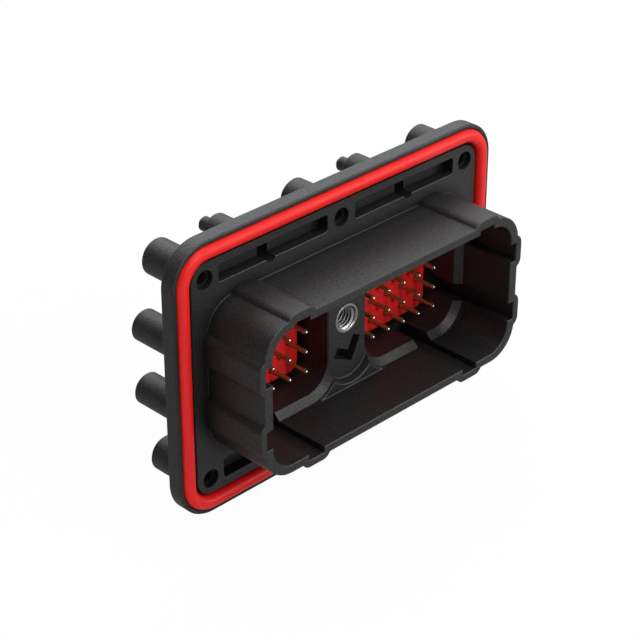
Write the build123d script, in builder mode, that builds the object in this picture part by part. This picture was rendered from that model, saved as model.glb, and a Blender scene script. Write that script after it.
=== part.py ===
from build123d import *
import os

os.makedirs("parts", exist_ok=True)

# Sealed board header for two plugs side by side, held by a jackscrew between them.
# The origin is the centre of the six screw holes on the front face of the flange.
# X runs along the flange and Z runs up. Y runs back towards the circuit board, so the
# plugs come from -Y. All sizes are millimetres.

# Contact field
pin_pitch = 4.5
pin_rows = 5
pin_columns = 5
pin_diameter = 1.0
pin_tip_chamfer = 0.3
pin_reach = 5.5             # bare length in front of the red block
pin_tail = 3.5              # length behind the face that the board rests on
pin_hole_clearance = 0.03   # on each side, in a square hole

# Red blocks that space the contacts
block_margin = 3.1          # from the outer contacts to the edge of the block
block_setback = 5.4         # front face behind the flange face
block_thickness = 3.6
block_corner_radius = 2.8
block_edge_round = 0.9
block_gap = 1.1             # all round, to the wall of the pocket
stud_diameter = 1.0         # small studs midway between the contacts
stud_height = 0.9

# Inside of the mating shroud
partition_width = 10.6      # between the two pockets
partition_height = 1.66     # face of the partition in front of the flange face
pocket_corner_radius = 5.5
ledge_foot = 1.45           # edge of the pocket walls in front of the flange face
ledge_width = 1.4           # 45 degree ledge from the pocket walls to the shroud
shelf_height = 3.4          # floor of the shroud in front of the flange face
shelf_edge_round = 0.35
recess_overlap = 1.0        # round-ended recess is this much wider than the partition
recess_end_land = 0.1       # and this much longer than the pockets, at each end
recess_draft = 18           # degrees
recess_foot_round = 0.4

key_reach = 2.1             # channels start this far inside the shroud's inner wall

# L-shaped notch in the partition, below the jackscrew
notch_corner_x = 1.3
notch_corner_drop = 10.2
notch_arm_length = 5.5
notch_arm_width = 2.2
notch_angle = 63.4          # degrees
notch_depth = 3.4

# Mating shroud
shroud_height = 15.25       # in front of the flange face
shroud_wall = 1.8
shroud_end_wall = 2.15
shroud_corner_radius = 7.0
shroud_root_round = 0.25
shroud_rim_chamfer = 0.15

# Key channels inside the shroud and the ribs that cover them outside
key_width = 4.0
key_wall = 1.7
key_rib_height = 1.1
key_rib_round = 2.0
key_rib_root_round = 0.4
key_floor = 6.0             # end of a channel behind the flange face
key_floor_wall = 1.5
top_key_x = 25.5
top_key_depth = 0.95
bottom_key_x = 21.8
bottom_key_depth = 1.3
end_key_z = 6.75
end_key_depth = 1.6

# Flange
flange_thickness = 3.35
flange_edge_round = 0.35
screw_offset_x = 0.15       # corner screws from the ends of the shroud
screw_offset_z = 5.3        # screw lines from the long sides of the shroud
screw_land = 3.45           # from a corner screw to the edge of the inner land
land_corner_radius = 3.9
groove_width = 3.35
groove_depth = 2.0
flange_rim = 0.95           # outside the seal groove
groove_edge_chamfer = 0.15

# Seal
seal_side_clearance = 0.05  # to the outer wall of the groove
seal_width = 2.8
seal_proud = 1.0
seal_crown_round = 1.35

# Screw holes and the bosses behind them
screw_mouth_diameter = 3.9
screw_mouth_depth = 1.1
screw_pilot_diameter = 2.5
screw_pilot_floor = 1.2
boss_diameter = 7.5
boss_end = 13.5             # behind the flange face
boss_end_chamfer = 0.5

# Weight-saving slots in the flange
slot_depth = 2.5
slot_corner_radius = 0.6
slot_edge_round = 0.2
slot_middle_gap = 3.8       # from the middle screw to the slot
slot_corner_gap = 3.5       # from the corner screw to the slot
top_slot_height = 3.55
bottom_slot_height = 4.35
bottom_slot_shift = 0.72    # towards the shroud from the screw line

# Body behind the flange
web_thickness = 3.0
body_wall = 1.7
partition_core_width = 6.4
partition_core_floor = 3.2
partition_core_wall = 1.6   # between the core and the ends of the body

# Board posts and locating pegs
board_seat = 15.5           # face that the board rests on, behind the flange face
post_diameter = 6.6
post_offset_x = 2.0         # outside the corner screws
post_z = 7.0
post_end_chamfer = 0.4
post_pilot_diameter = 2.5
post_pilot_depth = 8.0
post_rib_thickness = 1.6
peg_offset_x = 0.25
peg_drop = 1.25             # below the upper screw line
peg_base_diameter = 6.6
peg_diameter = 3.0
peg_length = 3.7
peg_tip_chamfer = 0.7
peg_bore_diameter = 2.65
peg_bore_floor = 1.5

# Jackscrew insert, M5 x 0.8
insert_diameter = 6.3
insert_length = 9.0
insert_bore_diameter = 4.25
insert_mouth_diameter = 5.3
insert_clearance = 0.02     # radial
insert_relief_diameter = 5.4
insert_relief_length = 3.0

# Sizes that follow from those above
block_width = (pin_columns - 1) * pin_pitch + 2 * block_margin
block_height = (pin_rows - 1) * pin_pitch + 2 * block_margin
pocket_width = block_width + 2 * block_gap
pocket_height = block_height + 2 * block_gap
bay_x = (partition_width + pocket_width) / 2
pocket_floor = block_setback + block_thickness
body_back = pocket_floor + web_thickness
ledge_top = ledge_foot + ledge_width
pin_hole_side = pin_diameter + 2 * pin_hole_clearance

room_x = bay_x + pocket_width / 2 + ledge_width
room_z = pocket_height / 2 + ledge_width
room_radius = shroud_corner_radius - shroud_wall
shroud_x = room_x + shroud_end_wall
shroud_z = room_z + shroud_wall

screw_x = shroud_x + screw_offset_x
screw_z = shroud_z + screw_offset_z
land_x = screw_x + screw_land
land_z = screw_z + screw_land
groove_x = land_x + groove_width
groove_z = land_z + groove_width
flange_x = groove_x + flange_rim
flange_z = groove_z + flange_rim
groove_radius = land_corner_radius + groove_width
flange_radius = groove_radius + flange_rim

post_x = screw_x + post_offset_x
peg_x = bay_x + peg_offset_x
peg_z = screw_z - peg_drop
pin_tip = block_setback - pin_reach
pin_end = board_seat + pin_tail
body_x = bay_x + pocket_width / 2 + body_wall
body_z = pocket_height / 2 + body_wall

screw_places = [(x, z) for x in (-screw_x, 0, screw_x) for z in (-screw_z, screw_z)]
post_places = [(x, z) for x in (-post_x, post_x) for z in (-post_z, post_z)]
peg_places = [(-peg_x, peg_z), (peg_x, peg_z)]


# A plane across the part, y behind the front face of the flange. Its local y is Z.
# A positive extrusion from it runs forward to -Y, and a negative one runs back.
def across(y):
    return Plane.XZ.offset(-y)


# Rectangles across the shroud wall at each key, as x, z, width and height
def key_rectangles(reach_in, top, bottom, end, width):
    rectangles = []
    start_z = room_z - reach_in
    start_x = room_x - reach_in
    for side in (-1, 1):
        rectangles.append((side * top_key_x, (start_z + top) / 2, width, top - start_z))
        rectangles.append((side * bottom_key_x, -(start_z + bottom) / 2, width, bottom - start_z))
        for z in (-end_key_z, end_key_z):
            rectangles.append((side * (start_x + end) / 2, z, end - start_x, width))
    return rectangles


key_channels = key_rectangles(
    key_reach, room_z + top_key_depth, room_z + bottom_key_depth, room_x + end_key_depth, key_width
)
key_ribs = key_rectangles(
    key_rib_round, shroud_z + key_rib_height, shroud_z + key_rib_height,
    shroud_x + key_rib_height, key_width + 2 * key_wall,
)


# The edges of a part that lie in the plane y, all of them or the last operation's
def edges_at(part, y, which=Select.ALL):
    return part.edges(which).filter_by_position(Axis.Y, y - 0.001, y + 0.001)


# Mating room: the open space inside the shroud and the pockets, which the housing
# is cut with, as the core of its mould leaves it.
with BuildPart() as room:
    # Each pocket widens at 45 degrees to the ledge, then rises straight to the shelf
    for side in (-1, 1):
        for y, grown in ((-ledge_foot, 0), (-ledge_top, ledge_width)):
            with BuildSketch(across(y)):
                with Locations((side * bay_x, 0)):
                    RectangleRounded(
                        pocket_width + 2 * grown,
                        pocket_height + 2 * grown,
                        pocket_corner_radius + grown,
                    )
        loft()
        with BuildSketch(across(-ledge_top)):
            with Locations((side * bay_x, 0)):
                RectangleRounded(
                    pocket_width + 2 * ledge_width,
                    pocket_height + 2 * ledge_width,
                    pocket_corner_radius + ledge_width,
                )
        extrude(amount=shelf_height - ledge_top)

    # Round-ended recess over the partition
    with BuildPart(mode=Mode.PRIVATE) as recess:
        with BuildSketch(across(-partition_height)):
            SlotOverall(
                pocket_height + 2 * recess_end_land,
                partition_width + 2 * recess_overlap,
                rotation=90,
            )
        extrude(amount=shelf_height - partition_height, taper=-recess_draft)
        fillet(edges_at(recess, -partition_height), recess_foot_round)
    add(recess.part)

    with BuildSketch(across(-shelf_height)):
        RectangleRounded(2 * room_x, 2 * room_z, room_radius)
    extrude(amount=shroud_height - shelf_height)

    with BuildSketch(across(key_floor)):
        for x, z, width, height in key_channels:
            with Locations((x, z)):
                Rectangle(width, height)
    extrude(amount=shroud_height + key_floor)

    with BuildSketch(across(pocket_floor)):
        with Locations((-bay_x, 0), (bay_x, 0)):
            RectangleRounded(pocket_width, pocket_height, pocket_corner_radius)
    extrude(amount=pocket_floor + shelf_height)

# Housing: one moulding of flange, keyed shroud, pockets, body and bosses
with BuildPart() as housing:
    with BuildSketch(across(0)):
        RectangleRounded(2 * flange_x, 2 * flange_z, flange_radius)
    extrude(amount=-flange_thickness)
    fillet(
        edges_at(housing, 0) + edges_at(housing, flange_thickness),
        flange_edge_round,
    )

    with BuildSketch(across(0)):
        RectangleRounded(2 * shroud_x, 2 * shroud_z, shroud_corner_radius)
    extrude(amount=shroud_height)
    root = edges_at(housing, 0).filter_by(
        lambda edge: abs(edge.center().X) < flange_x - flange_rim
        and abs(edge.center().Z) < flange_z - flange_rim
    )
    fillet(root, shroud_root_round)

    # Ribs over the key channels. Growing the outline and shrinking it again rounds
    # the corners where they leave the wall.
    with BuildSketch(across(0)):
        RectangleRounded(2 * shroud_x, 2 * shroud_z, shroud_corner_radius)
        for x, z, width, height in key_ribs:
            with Locations((x, z)):
                RectangleRounded(width, height, key_rib_round)
        offset(amount=key_rib_root_round)
        offset(amount=-key_rib_root_round)
    extrude(amount=shroud_height)

    # Body that carries the contacts
    with BuildSketch(across(flange_thickness)):
        RectangleRounded(2 * body_x, 2 * body_z, pocket_corner_radius + body_wall)
    extrude(amount=flange_thickness - body_back)
    with BuildSketch(across(flange_thickness)):
        for x, z, width, height in key_ribs:
            with Locations((x, z)):
                RectangleRounded(width, height, key_rib_round)
    extrude(amount=flange_thickness - key_floor - key_floor_wall)

    # Screw bosses, board posts and the bases of the locating pegs
    with BuildSketch(across(flange_thickness)):
        with Locations(*screw_places):
            Circle(boss_diameter / 2)
    extrude(amount=flange_thickness - boss_end)
    chamfer(edges_at(housing, boss_end), boss_end_chamfer)

    with BuildSketch(across(flange_thickness)):
        with Locations(*post_places):
            Circle(post_diameter / 2)
        with Locations(*peg_places):
            Circle(peg_base_diameter / 2)
    extrude(amount=flange_thickness - board_seat)
    chamfer(edges_at(housing, board_seat), post_end_chamfer)

    with BuildSketch(across(flange_thickness)):
        for side in (-1, 1):
            with Locations((side * (body_x + post_x) / 2, -post_z), (side * (body_x + post_x) / 2, post_z)):
                Rectangle(post_x - body_x, post_rib_thickness)
    extrude(amount=flange_thickness - body_back)

    with BuildSketch(across(board_seat)):
        with Locations(*peg_places):
            Circle(peg_diameter / 2)
    extrude(amount=-peg_length)
    chamfer(edges_at(housing, board_seat + peg_length), peg_tip_chamfer)

    # Seal groove
    with BuildSketch(across(0)):
        RectangleRounded(2 * groove_x, 2 * groove_z, groove_radius)
        RectangleRounded(2 * land_x, 2 * land_z, land_corner_radius, mode=Mode.SUBTRACT)
    extrude(amount=-groove_depth, mode=Mode.SUBTRACT)
    chamfer(edges_at(housing, 0, Select.LAST), groove_edge_chamfer)

    # Slots in the flange, between the screws
    slot_width = screw_x - slot_corner_gap - slot_middle_gap
    slot_x = slot_middle_gap + slot_width / 2
    bottom_slot_z = bottom_slot_shift - screw_z
    with BuildSketch(across(0)):
        with Locations((-slot_x, screw_z), (slot_x, screw_z)):
            RectangleRounded(slot_width, top_slot_height, slot_corner_radius)
        with Locations((-slot_x, bottom_slot_z), (slot_x, bottom_slot_z)):
            RectangleRounded(slot_width, bottom_slot_height, slot_corner_radius)
    extrude(amount=-slot_depth, mode=Mode.SUBTRACT)
    fillet(edges_at(housing, 0, Select.LAST), slot_edge_round)

    # Bores through the pegs, square at the top and round at the bottom
    with BuildSketch(across(0)):
        with Locations(*peg_places):
            Circle(peg_bore_diameter / 2)
            Rectangle(peg_bore_diameter, peg_bore_diameter / 2, align=(Align.CENTER, Align.MIN))
    extrude(amount=peg_bore_floor - board_seat, mode=Mode.SUBTRACT)

    # Screw holes, blind, with a wider mouth
    with BuildSketch(across(0)):
        with Locations(*screw_places):
            Circle(screw_mouth_diameter / 2)
    extrude(amount=-screw_mouth_depth, mode=Mode.SUBTRACT)
    with BuildSketch(across(0)):
        with Locations(*screw_places):
            Circle(screw_pilot_diameter / 2)
    extrude(amount=screw_pilot_floor - boss_end, mode=Mode.SUBTRACT)

    # Pilot holes for the screws that hold the board
    with BuildSketch(across(board_seat)):
        with Locations(*post_places):
            Circle(post_pilot_diameter / 2)
    extrude(amount=post_pilot_depth, mode=Mode.SUBTRACT)

    add(room.part, mode=Mode.SUBTRACT)
    chamfer(edges_at(housing, -shroud_height), shroud_rim_chamfer)
    lip = edges_at(housing, -shelf_height).filter_by(
        lambda edge: abs(edge.center().X) < bay_x - pocket_width / 4
    )
    fillet(lip, shelf_edge_round)

    # L-shaped notch in the partition
    with BuildSketch(across(-partition_height)):
        with Locations((notch_corner_x, -notch_corner_drop)):
            Rectangle(
                notch_arm_length, notch_arm_width,
                rotation=notch_angle, align=(Align.MIN, Align.MIN),
            )
            Rectangle(
                notch_arm_length, notch_arm_width,
                rotation=notch_angle + 90, align=(Align.MIN, Align.MAX),
            )
    extrude(amount=-notch_depth, mode=Mode.SUBTRACT)

    # Seat of the jackscrew insert, with room behind it for the screw's tip
    insert_back = insert_length - partition_height
    with BuildSketch(across(-partition_height)):
        Circle(insert_diameter / 2 + insert_clearance)
    extrude(amount=-insert_length, mode=Mode.SUBTRACT)
    with BuildSketch(across(insert_back)):
        Circle(insert_relief_diameter / 2)
    extrude(amount=-insert_relief_length, mode=Mode.SUBTRACT)

    # Cores in the back of the partition, which keep its walls even
    core_z = (insert_diameter / 2 + body_wall + body_z - partition_core_wall) / 2
    core_height = body_z - partition_core_wall - insert_diameter / 2 - body_wall
    with BuildSketch(across(body_back)):
        with Locations((0, -core_z), (0, core_z)):
            RectangleRounded(partition_core_width, core_height, slot_corner_radius)
    extrude(amount=body_back - partition_core_floor, mode=Mode.SUBTRACT)

    # Holes for the contacts
    with BuildSketch(across(body_back)):
        with Locations((-bay_x, 0), (bay_x, 0)):
            with GridLocations(pin_pitch, pin_pitch, pin_columns, pin_rows):
                Rectangle(pin_hole_side, pin_hole_side)
    extrude(amount=web_thickness, mode=Mode.SUBTRACT)

housing.part.label = "housing"
export_step(housing.part, "parts/housing.step")

# Perimeter seal: a rubber ring with a round crown, flat on the floor of its groove
with BuildPart() as perimeter_seal:
    seal_x = groove_x - seal_side_clearance
    seal_z = groove_z - seal_side_clearance
    seal_radius = groove_radius - seal_side_clearance
    with BuildSketch(across(groove_depth)):
        RectangleRounded(2 * seal_x, 2 * seal_z, seal_radius)
        RectangleRounded(
            2 * (seal_x - seal_width), 2 * (seal_z - seal_width), seal_radius - seal_width,
            mode=Mode.SUBTRACT,
        )
    extrude(amount=groove_depth + seal_proud)
    fillet(edges_at(perimeter_seal, -seal_proud), seal_crown_round)
perimeter_seal.part.label = "perimeter_seal"
export_step(perimeter_seal.part, "parts/perimeter_seal.step")

# Jackscrew insert: a plain steel sleeve, threaded M5 x 0.8
with BuildPart() as jackscrew_insert:
    with BuildSketch(across(-partition_height)):
        Circle(insert_diameter / 2)
        Circle(insert_bore_diameter / 2, mode=Mode.SUBTRACT)
    extrude(amount=-insert_length)
    mouth = edges_at(jackscrew_insert, -partition_height).sort_by(SortBy.LENGTH)[0]
    chamfer(mouth, (insert_mouth_diameter - insert_bore_diameter) / 2)
jackscrew_insert.part.label = "jackscrew_insert"
export_step(jackscrew_insert.part, "parts/jackscrew_insert.step")

# Red blocks and the contacts that pass through them, bay by bay
for side, bay in ((-1, "left"), (1, "right")):
    with BuildPart() as pin_block:
        with BuildSketch(across(pocket_floor)):
            with Locations((side * bay_x, 0)):
                RectangleRounded(block_width, block_height, block_corner_radius)
        extrude(amount=block_thickness)
        fillet(edges_at(pin_block, block_setback), block_edge_round)
        with BuildSketch(across(block_setback)):
            with Locations((side * bay_x, 0)):
                with GridLocations(pin_pitch, pin_pitch, pin_columns - 1, pin_rows - 1):
                    Circle(stud_diameter / 2)
        extrude(amount=stud_height)
        with BuildSketch(across(pocket_floor)):
            with Locations((side * bay_x, 0)):
                with GridLocations(pin_pitch, pin_pitch, pin_columns, pin_rows):
                    Rectangle(pin_hole_side, pin_hole_side)
        extrude(amount=block_thickness, mode=Mode.SUBTRACT)
    pin_block.part.label = f"{bay}_pin_block"
    export_step(pin_block.part, f"parts/{bay}_pin_block.step")

    for row in range(pin_rows):
        for column in range(pin_columns):
            x = side * bay_x + (column - (pin_columns - 1) / 2) * pin_pitch
            z = ((pin_rows - 1) / 2 - row) * pin_pitch
            with BuildPart() as pin:
                with BuildSketch(across(pin_tip)):
                    with Locations((x, z)):
                        Circle(pin_diameter / 2)
                extrude(amount=pin_tip - pin_end)
                chamfer(edges_at(pin, pin_tip), pin_tip_chamfer)
            pin.part.label = f"{bay}_pin_row_{row + 1}_column_{column + 1}"
            export_step(pin.part, f"parts/{pin.part.label}.step")
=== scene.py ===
import math

import bmesh
import bpy
from mathutils import Matrix, Vector


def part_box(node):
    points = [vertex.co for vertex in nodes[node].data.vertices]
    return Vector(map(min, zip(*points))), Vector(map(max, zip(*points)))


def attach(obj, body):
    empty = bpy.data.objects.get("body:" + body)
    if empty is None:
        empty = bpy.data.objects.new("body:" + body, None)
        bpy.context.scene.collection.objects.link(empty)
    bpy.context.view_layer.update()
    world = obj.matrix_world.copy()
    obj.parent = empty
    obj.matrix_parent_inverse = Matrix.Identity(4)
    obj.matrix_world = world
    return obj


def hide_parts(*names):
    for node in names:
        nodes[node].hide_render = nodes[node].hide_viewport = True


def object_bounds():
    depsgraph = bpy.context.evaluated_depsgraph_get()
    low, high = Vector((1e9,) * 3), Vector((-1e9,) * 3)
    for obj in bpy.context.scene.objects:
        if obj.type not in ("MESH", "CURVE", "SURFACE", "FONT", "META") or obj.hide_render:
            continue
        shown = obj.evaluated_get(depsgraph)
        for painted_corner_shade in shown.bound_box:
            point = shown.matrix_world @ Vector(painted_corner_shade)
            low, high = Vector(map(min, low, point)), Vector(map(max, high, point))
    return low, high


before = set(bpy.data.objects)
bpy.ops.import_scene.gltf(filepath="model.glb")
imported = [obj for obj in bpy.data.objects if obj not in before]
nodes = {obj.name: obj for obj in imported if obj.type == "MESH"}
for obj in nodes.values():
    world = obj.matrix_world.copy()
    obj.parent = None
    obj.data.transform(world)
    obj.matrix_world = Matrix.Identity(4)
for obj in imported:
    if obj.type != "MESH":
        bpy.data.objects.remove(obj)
cad_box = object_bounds()

# Housing: one injection moulding in charcoal glass-filled plastic. The tool's fine
# spark-eroded finish leaves a faint grain all over, and the faces dull a little
# unevenly where the melt flowed.

mottle_scale = 90.0          # colour patches of about 10 mm
painted_shade_reach = 0.0028        # metres from an inside corner over which a painted shade dims the sheen
painted_shade_power = 1.6


# One shader group gives every moulded piece its fine grain height and slow mottle
moulded_grain = bpy.data.node_groups.new("moulded grain", "ShaderNodeTree")
for label, direction in (
    ("Grain", "INPUT"), ("Mottle Scale", "INPUT"), ("Height", "OUTPUT"), ("Mottle", "OUTPUT"),
):
    moulded_grain.interface.new_socket(
        label, in_out=direction, socket_type="NodeSocketFloat",
    )
add = moulded_grain.nodes.new
link = moulded_grain.links.new
grain_in = add("NodeGroupInput")
grain_out = add("NodeGroupOutput")
place = add("ShaderNodeTexCoord")
fine = add("ShaderNodeTexNoise")
fine.inputs["Detail"].default_value = 2.0
fine.inputs["Roughness"].default_value = 0.6
slow = add("ShaderNodeTexNoise")
slow.inputs["Detail"].default_value = 4.0
link(place.outputs["Object"], fine.inputs["Vector"])
link(place.outputs["Object"], slow.inputs["Vector"])
link(grain_in.outputs["Grain"], fine.inputs["Scale"])
link(grain_in.outputs["Mottle Scale"], slow.inputs["Scale"])
link(fine.outputs["Fac"], grain_out.inputs["Height"])
link(slow.outputs["Fac"], grain_out.inputs["Mottle"])


def moulded_material(name, colours, roughness, grain_scale, grain_height, specular, speckle):
    """A moulded surface: two close colours mixed by the mottle, with a fine grain.

    The grain also speckles the sheen by the share given, and a painted shade dims the
    sheen towards inside corners.
    """
    material = bpy.data.materials.new(name)
    material.use_nodes = True
    tree = material.node_tree
    shader = tree.nodes["Principled BSDF"]
    grain = tree.nodes.new("ShaderNodeGroup")
    grain.node_tree = moulded_grain
    grain.inputs["Grain"].default_value = grain_scale
    grain.inputs["Mottle Scale"].default_value = mottle_scale
    colour = tree.nodes.new("ShaderNodeMix")
    colour.data_type = "RGBA"
    colour.inputs["A"].default_value = (*colours[0], 1.0)
    colour.inputs["B"].default_value = (*colours[1], 1.0)
    tree.links.new(grain.outputs["Mottle"], colour.inputs["Factor"])
    tree.links.new(colour.outputs["Result"], shader.inputs["Base Color"])
    dullness = tree.nodes.new("ShaderNodeMapRange")
    dullness.inputs["To Min"].default_value = roughness[0]
    dullness.inputs["To Max"].default_value = roughness[1]
    tree.links.new(grain.outputs["Height"], dullness.inputs["Value"])
    tree.links.new(dullness.outputs["Result"], shader.inputs["Roughness"])
    bump = tree.nodes.new("ShaderNodeBump")
    bump.inputs["Distance"].default_value = grain_height
    tree.links.new(grain.outputs["Height"], bump.inputs["Height"])
    tree.links.new(bump.outputs["Normal"], shader.inputs["Normal"])
    sheen = tree.nodes.new("ShaderNodeMapRange")
    sheen.inputs["From Min"].default_value = 0.3
    sheen.inputs["From Max"].default_value = 0.7
    sheen.inputs["To Min"].default_value = specular * (1.0 - speckle)
    sheen.inputs["To Max"].default_value = specular * (1.0 + speckle)
    tree.links.new(grain.outputs["Height"], sheen.inputs["Value"])
    # Painted shade: ambient occlusion darkens the sheen near inside corners
    painted_corner_shade = tree.nodes.new("ShaderNodeAmbientOcclusion")
    painted_corner_shade.inputs["Distance"].default_value = painted_shade_reach
    depth = tree.nodes.new("ShaderNodeMath")
    depth.operation = "POWER"
    depth.inputs[1].default_value = painted_shade_power
    shaded = tree.nodes.new("ShaderNodeMath")
    shaded.operation = "MULTIPLY"
    tree.links.new(sheen.outputs["Result"], shaded.inputs[0])
    tree.links.new(painted_corner_shade.outputs["AO"], depth.inputs[0])
    tree.links.new(depth.outputs[0], shaded.inputs[1])
    tree.links.new(shaded.outputs[0], shader.inputs["Specular IOR Level"])
    return material


charcoal = moulded_material(
    "charcoal moulded plastic",
    [(0.0070, 0.0068, 0.0065), (0.0110, 0.0107, 0.0102)], (0.42, 0.56),
    grain_scale=2900.0, grain_height=0.000050, specular=0.5, speckle=0.44,
)


def finish_node(name, material):
    """Gives a carried-over solid its finish in the material slot it has."""
    mesh = nodes[name].data
    mesh.materials.clear()
    mesh.materials.append(material)


finish_node("housing", charcoal)

# Perimeter seal: a ring of red silicone, moulded in one and pressed into its groove.
# It is smooth, with a soft gloss along its crown.

seal_red = moulded_material(
    "red silicone", [(0.58, 0.010, 0.009), (0.66, 0.014, 0.012)], (0.30, 0.40),
    grain_scale=1500.0, grain_height=0.000004, specular=0.20, speckle=0.1,
)
finish_node("perimeter_seal", seal_red)

# Red blocks: small plates of red plastic at the bottom of each pocket, which hold the
# contacts at their spacing.

block_red = moulded_material(
    "red moulded plastic", [(0.56, 0.011, 0.011), (0.64, 0.015, 0.014)], (0.38, 0.48),
    grain_scale=2400.0, grain_height=0.000005, specular=0.3, speckle=0.1,
)
for bay in ("left", "right"):
    finish_node(f"{bay}_pin_block", block_red)

# Contacts: drawn copper alloy pins with a pointed round nose, gold plated. Drawing
# leaves fine lines along them, and the plating is a little uneven.


def metal_material(name, colours, roughness, stretch, streaks, relief, metallic):
    """A drawn or turned metal: two close colours and a relief mixed by stretched streaks."""
    material = bpy.data.materials.new(name)
    material.use_nodes = True
    tree = material.node_tree
    shader = tree.nodes["Principled BSDF"]
    shader.inputs["Metallic"].default_value = metallic
    place = tree.nodes.new("ShaderNodeTexCoord")
    squeeze = tree.nodes.new("ShaderNodeMapping")
    squeeze.inputs["Scale"].default_value = stretch
    streak = tree.nodes.new("ShaderNodeTexNoise")
    streak.inputs["Scale"].default_value = streaks
    streak.inputs["Detail"].default_value = 3.0
    colour = tree.nodes.new("ShaderNodeMix")
    colour.data_type = "RGBA"
    colour.inputs["A"].default_value = (*colours[0], 1.0)
    colour.inputs["B"].default_value = (*colours[1], 1.0)
    dullness = tree.nodes.new("ShaderNodeMapRange")
    dullness.inputs["To Min"].default_value = roughness[0]
    dullness.inputs["To Max"].default_value = roughness[1]
    bump = tree.nodes.new("ShaderNodeBump")
    bump.inputs["Distance"].default_value = relief
    tree.links.new(place.outputs["Object"], squeeze.inputs["Vector"])
    tree.links.new(squeeze.outputs["Vector"], streak.inputs["Vector"])
    tree.links.new(streak.outputs["Fac"], colour.inputs["Factor"])
    tree.links.new(streak.outputs["Fac"], dullness.inputs["Value"])
    tree.links.new(streak.outputs["Fac"], bump.inputs["Height"])
    tree.links.new(colour.outputs["Result"], shader.inputs["Base Color"])
    tree.links.new(dullness.outputs["Result"], shader.inputs["Roughness"])
    tree.links.new(bump.outputs["Normal"], shader.inputs["Normal"])
    return material


contact_gold = metal_material(
    "gold plated contact", [(0.29, 0.195, 0.080), (0.39, 0.265, 0.115)], (0.14, 0.22),
    stretch=(1.0, 0.05, 1.0), streaks=9000.0, relief=0.000003, metallic=0.8,
)
pin_low, pin_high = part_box("left_pin_row_1_column_1")
pin_radius = (pin_high[0] - pin_low[0]) / 2
tip_length = 0.00052
nose_radius = 0.00032
nose_steps = 7
painted_highlight_length = 0.00014
painted_highlight_fade = 0.00008
tail_bevel = 0.00015

# The nose is painted a paler gold than the drawn shank, a painted highlight at the tip
tree = contact_gold.node_tree
shader = tree.nodes["Principled BSDF"]
shank = shader.inputs["Base Color"].links[0].from_socket
along = tree.nodes.new("ShaderNodeSeparateXYZ")
painted_highlight_mask = tree.nodes.new("ShaderNodeMapRange")
painted_highlight_mask.inputs["From Min"].default_value = pin_low[1] + painted_highlight_length
painted_highlight_mask.inputs["From Max"].default_value = pin_low[1] + painted_highlight_length + painted_highlight_fade
painted_highlight_mask.inputs["To Min"].default_value = 1.0
painted_highlight_mask.inputs["To Max"].default_value = 0.0
painted_highlight_colour = tree.nodes.new("ShaderNodeMix")
painted_highlight_colour.data_type = "RGBA"
# Painted highlight: the pale gold colour given to the nose
painted_highlight_colour.inputs["B"].default_value = (0.95, 0.80, 0.56, 1.0)
tree.links.new(tree.nodes["Texture Coordinate"].outputs["Object"], along.inputs["Vector"])
tree.links.new(along.outputs["Y"], painted_highlight_mask.inputs["Value"])
tree.links.new(painted_highlight_mask.outputs["Result"], painted_highlight_colour.inputs["Factor"])
tree.links.new(shank, painted_highlight_colour.inputs["A"])
tree.links.new(painted_highlight_colour.outputs["Result"], shader.inputs["Base Color"])

# One contact is a closed outline revolved about its own axis. The tip is a cone that
# ends in a round nose, and the tail is bevelled.
build = bmesh.new()
outline = [
    (0.0, pin_high[1]), (pin_radius - tail_bevel, pin_high[1]),
    (pin_radius, pin_high[1] - tail_bevel), (pin_radius, pin_low[1] + tip_length),
]
for step in range(1, nose_steps + 1):
    turn = step / nose_steps * math.pi / 2
    outline.append((
        nose_radius * math.cos(turn), pin_low[1] + nose_radius * (1.0 - math.sin(turn)),
    ))
line = [build.verts.new((radius, y, 0.0)) for radius, y in outline]
edges = [build.edges.new(pair) for pair in zip(line, line[1:])]
bmesh.ops.spin(
    build, geom=line + edges, cent=(0.0, 0.0, 0.0), axis=(0.0, 1.0, 0.0),
    angle=math.tau, steps=32, use_merge=True,
)
bmesh.ops.remove_doubles(build, verts=build.verts, dist=0.000001)
bmesh.ops.recalc_face_normals(build, faces=build.faces)
for face in build.faces:
    face.smooth = True
contact_mesh = bpy.data.meshes.new("contact")
build.to_mesh(contact_mesh)
build.free()
contact_mesh.set_sharp_from_angle(angle=math.radians(18.0))
contact_mesh.materials.append(contact_gold)

for name in sorted(nodes):
    if "_pin_row_" in name:
        low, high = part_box(name)
        contact = bpy.data.objects.new(f"contact_{name}", contact_mesh)
        contact.location = ((low[0] + high[0]) / 2, 0.0, (low[2] + high[2]) / 2)
        bpy.context.scene.collection.objects.link(contact)
        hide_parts(name)
        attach(contact, "root")

# Jackscrew insert: a turned steel sleeve, plated. Its mouth is countersunk and an
# M5 thread of 0.8 mm pitch runs down from it as one ridge.

insert_steel = metal_material(
    "plated steel", [(0.36, 0.35, 0.33), (0.44, 0.43, 0.41)], (0.36, 0.42),
    stretch=(1.0, 8.0, 1.0), streaks=2500.0, relief=0.0000005, metallic=1.0,
)
insert_low, insert_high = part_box("jackscrew_insert")
insert_front = insert_low[1]
insert_back = insert_high[1]
insert_radius = insert_high[0]
rim_bevel = 0.00010
mouth_radius = 0.00266
crest_radius = 0.00209
root_radius = 0.00250
end_bevel = 0.00012
cone_end = insert_front + mouth_radius - root_radius
thread_pitch = 0.0008
thread_steps = 48
thread_end_gap = 0.0005
thread_run_out = 20          # steps over which the crest sinks into the wall
crest_half = 0.00010         # half the width of the crest
root_half = 0.00034          # half the width of the ridge's foot
foot_depth = 0.00004         # how far the foot is sunk into the wall

build = bmesh.new()
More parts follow.
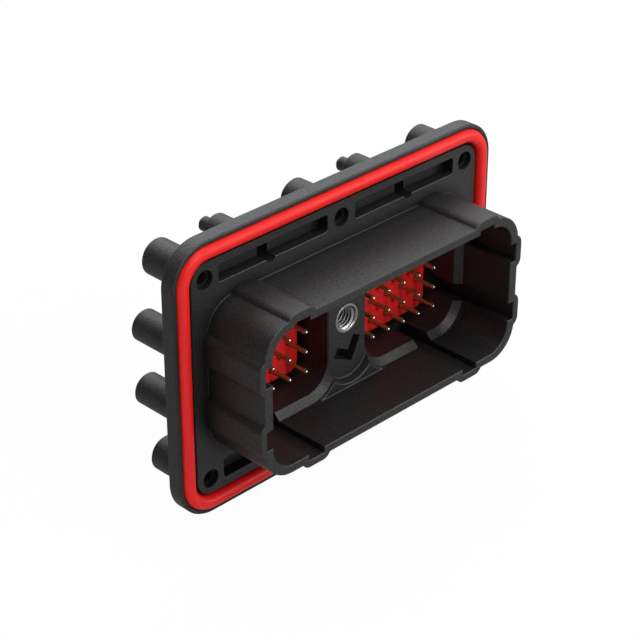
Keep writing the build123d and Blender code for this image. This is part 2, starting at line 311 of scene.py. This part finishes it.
# The sleeve is a closed outline, revolved a full turn about the bore's axis
outline = [
    (insert_radius, insert_front + rim_bevel), (insert_radius - rim_bevel, insert_front),
    (mouth_radius, insert_front), (root_radius, cone_end),
    (root_radius, insert_back - end_bevel), (root_radius + end_bevel, insert_back),
    (insert_radius - rim_bevel, insert_back), (insert_radius, insert_back - rim_bevel),
]
ring = [build.verts.new((radius, y, 0.0)) for radius, y in outline]
hoop = [build.edges.new((ring[i - 1], ring[i])) for i in range(len(ring))]
bmesh.ops.spin(
    build, geom=ring + hoop, cent=(0.0, 0.0, 0.0), axis=(0.0, 1.0, 0.0),
    angle=math.tau, steps=96, use_merge=True,
)

# The ridge winds from the mouth to the far end. The countersink's cone cuts its crest
# at the mouth, and at the far end it runs out into the wall
turns = (insert_back - cone_end - thread_end_gap) / thread_pitch
steps = int(turns * thread_steps)
rings = []
for step in range(steps + 1):
    angle = step * math.tau / thread_steps
    y = cone_end - crest_half + step * thread_pitch / thread_steps
    rise = min(1.0, (steps - step) / thread_run_out)
    land = root_radius - rise * (root_radius - crest_radius)
    foot = root_radius + foot_depth
    profile = [(foot, max(y - root_half, cone_end))]
    for along in (max(y - crest_half, cone_end), max(y + crest_half, cone_end)):
        profile.append((max(land, mouth_radius + insert_front - along), along))
    profile.append((foot, max(y, cone_end) + root_half))
    rings.append([
        build.verts.new((radius * math.cos(angle), along, radius * math.sin(angle)))
        for radius, along in profile
    ])
for one, other in zip(rings, rings[1:]):
    for i in range(4):
        build.faces.new((one[i - 1], one[i], other[i], other[i - 1]))
build.faces.new(rings[0])
build.faces.new(rings[-1])
bmesh.ops.recalc_face_normals(build, faces=build.faces)
for face in build.faces:
    face.smooth = True
insert_mesh = bpy.data.meshes.new("threaded_insert")
build.to_mesh(insert_mesh)
build.free()
insert_mesh.set_sharp_from_angle(angle=math.radians(28.0))
insert_mesh.materials.append(insert_steel)
threaded_insert = bpy.data.objects.new("threaded_insert", insert_mesh)
bpy.context.scene.collection.objects.link(threaded_insert)
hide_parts("jackscrew_insert")
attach(threaded_insert, "root")

# Floor: a wide pale sheet just under the flange, and a pale surround. The camera sees
# both as plain white, and reflections see them greyer, as in a dimmed studio.

floor_mesh = bpy.data.meshes.new("floor")
build = bmesh.new()
bmesh.ops.create_grid(build, x_segments=1, y_segments=1, size=3.0)
build.to_mesh(floor_mesh)
build.free()
floor_mesh.transform(Matrix.Translation((0.0, 0.0, cad_box[0][2] - 0.0002)))
floor = bpy.data.objects.new("floor", floor_mesh)
bpy.context.scene.collection.objects.link(floor)

paper = bpy.data.materials.new("white paper")
paper.use_nodes = True
tree = paper.node_tree
tree.nodes.clear()
rays = tree.nodes.new("ShaderNodeLightPath")
# The rest of what the camera sees is the lit paper itself, which keeps the shadow
seen = tree.nodes.new("ShaderNodeMath")
seen.operation = "MULTIPLY"
seen.inputs[1].default_value = 0.96
share = tree.nodes.new("ShaderNodeMath")
share.operation = "MAXIMUM"
clear = tree.nodes.new("ShaderNodeMath")
clear.operation = "MAXIMUM"
level = tree.nodes.new("ShaderNodeMapRange")
level.inputs["To Min"].default_value = 0.46
level.inputs["To Max"].default_value = 1.0
diffuse = tree.nodes.new("ShaderNodeBsdfDiffuse")
diffuse.inputs["Color"].default_value = (0.8, 0.8, 0.8, 1.0)
glow = tree.nodes.new("ShaderNodeEmission")
mix = tree.nodes.new("ShaderNodeMixShader")
out = tree.nodes.new("ShaderNodeOutputMaterial")
tree.links.new(rays.outputs["Is Camera Ray"], seen.inputs[0])
tree.links.new(seen.outputs[0], share.inputs[0])
tree.links.new(rays.outputs["Is Glossy Ray"], share.inputs[1])
tree.links.new(share.outputs[0], clear.inputs[0])
tree.links.new(rays.outputs["Is Transmission Ray"], clear.inputs[1])
tree.links.new(rays.outputs["Is Camera Ray"], level.inputs["Value"])
tree.links.new(level.outputs["Result"], glow.inputs["Strength"])
tree.links.new(clear.outputs[0], mix.inputs["Fac"])
tree.links.new(diffuse.outputs[0], mix.inputs[1])
tree.links.new(glow.outputs[0], mix.inputs[2])
tree.links.new(mix.outputs[0], out.inputs["Surface"])
floor_mesh.materials.append(paper)

world = bpy.data.worlds.new("surround")
bpy.context.scene.world = world
world.use_nodes = True
tree = world.node_tree
sky = tree.nodes["Background"]
rays = tree.nodes.new("ShaderNodeLightPath")
reflected = tree.nodes.new("ShaderNodeMath")
reflected.operation = "MULTIPLY"
reflected.inputs[1].default_value = 0.40
seen = tree.nodes.new("ShaderNodeMath")
seen.operation = "MAXIMUM"
clear = tree.nodes.new("ShaderNodeMath")
clear.operation = "MAXIMUM"
level = tree.nodes.new("ShaderNodeMapRange")
level.inputs["To Min"].default_value = 0.40
level.inputs["To Max"].default_value = 1.0
tree.links.new(rays.outputs["Is Glossy Ray"], reflected.inputs[0])
tree.links.new(rays.outputs["Is Camera Ray"], seen.inputs[0])
tree.links.new(reflected.outputs[0], seen.inputs[1])
tree.links.new(seen.outputs[0], clear.inputs[0])
tree.links.new(rays.outputs["Is Transmission Ray"], clear.inputs[1])
tree.links.new(clear.outputs[0], level.inputs["Value"])
sky.inputs["Color"].default_value = (1.0, 1.0, 1.0, 1.0)

# The studio is darker to the left of the part, which only its reflections show
heading = tree.nodes.new("ShaderNodeTexCoord")
across = tree.nodes.new("ShaderNodeSeparateXYZ")
side = tree.nodes.new("ShaderNodeMapRange")
side.interpolation_type = "SMOOTHSTEP"
side.inputs["From Min"].default_value = -0.75
side.inputs["From Max"].default_value = -0.20
side.inputs["To Min"].default_value = 0.10
choice = tree.nodes.new("ShaderNodeMix")
choice.inputs["A"].default_value = 1.0
strength = tree.nodes.new("ShaderNodeMath")
strength.operation = "MULTIPLY"
tree.links.new(heading.outputs["Generated"], across.inputs["Vector"])
tree.links.new(across.outputs["X"], side.inputs["Value"])
tree.links.new(rays.outputs["Is Glossy Ray"], choice.inputs["Factor"])
tree.links.new(side.outputs["Result"], choice.inputs["B"])
tree.links.new(level.outputs["Result"], strength.inputs[0])
tree.links.new(choice.outputs["Result"], strength.inputs[1])
tree.links.new(strength.outputs[0], sky.inputs["Strength"])

# Studio lamps: broad soft panels overhead and behind, whose reflection brightens the
# upper faces where the flange doesn't hide it, and smaller ones in front for the faces
# and edges there, the middle one of which throws the contacts' shadows.


def panel(name, place, size, power, colour=(1.0, 1.0, 1.0)):
    """A soft panel that faces the part."""
    lamp = bpy.data.lights.new(name, "AREA")
    lamp.shape = "RECTANGLE"
    lamp.size, lamp.size_y = size
    lamp.energy = power
    lamp.color = colour
    holder = bpy.data.objects.new(name, lamp)
    holder.location = place
    holder.rotation_euler = (-Vector(place)).to_track_quat("-Z", "Y").to_euler()
    bpy.context.scene.collection.objects.link(holder)


panel("overhead panel", (0.02, -0.16, 0.60), (0.40, 0.40), 1.8, (0.94, 0.97, 1.0))
panel("back panel", (0.40, 0.40, 0.46), (0.70, 0.45), 2.4, (0.92, 0.97, 1.0))
panel("high back panel", (-0.02, 0.43, 0.53), (0.30, 0.30), 0.70)
panel("right panel", (0.43, -0.34, 0.42), (0.15, 0.15), 0.45)
panel("low right panel", (0.37, -0.385, 0.11), (0.36, 0.25), 1.0)
panel("front panel", (0.0, -0.49, 0.34), (0.14, 0.14), 1.1)
panel("left panel", (-0.26, -0.53, 0.34), (0.09, 0.09), 0.35)

# Camera: the photograph's view, 45 degrees to the left of the shroud and 30 above it.

camera_data = bpy.data.cameras.new("camera")
camera_data.sensor_width = 36.0
camera_data.lens = 114.83
camera_data.clip_start = 0.01
camera = bpy.data.objects.new("camera", camera_data)
camera.location = (-0.249463, -0.243612, 0.200213)
camera.rotation_euler = (math.radians(60.0), 0.0, math.radians(-45.0))
bpy.context.scene.collection.objects.link(camera)
bpy.context.scene.camera = camera
bpy.context.scene.view_settings.view_transform = "Standard"
